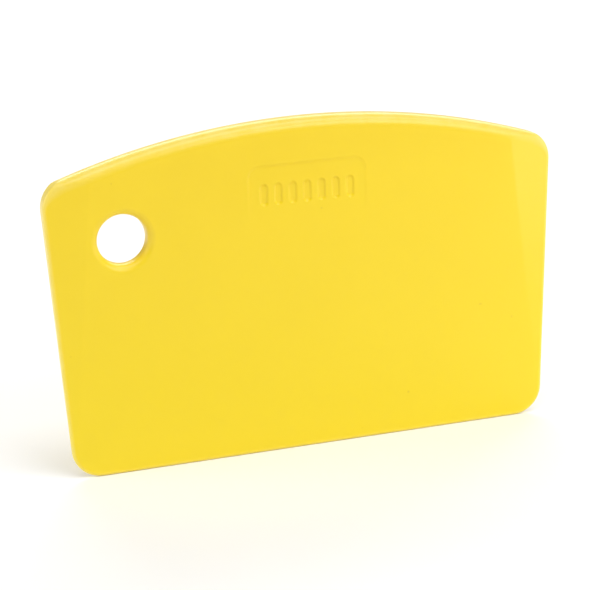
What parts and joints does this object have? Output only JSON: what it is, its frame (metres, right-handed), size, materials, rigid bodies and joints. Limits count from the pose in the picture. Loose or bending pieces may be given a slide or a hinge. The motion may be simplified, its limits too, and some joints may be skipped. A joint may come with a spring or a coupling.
{
  "type": "hand scraper",
  "caption": "One-piece moulded plastic hand scraper: tapered plate with an arched grip, bevelled flanks, thin straight scraping edge, rounded corners and a hanging hole.",
  "frame": {"origin": "middle of the scraping edge, at the lowest point of the part, on the plate's mid-plane", "axes": "+Z from the scraping edge up to the arched grip, +X along the scraping edge with the hanging hole on the -X side, -Y out of the face with the name plate recess"},
  "size_m": [0.1324, 0.0076, 0.0856],
  "materials": {
    "yellow_plastic": "satin, fine moulded grain"
  },
  "bodies": {
    "root": {"scraper_body": "yellow_plastic"}
  },
  "joints": []
}
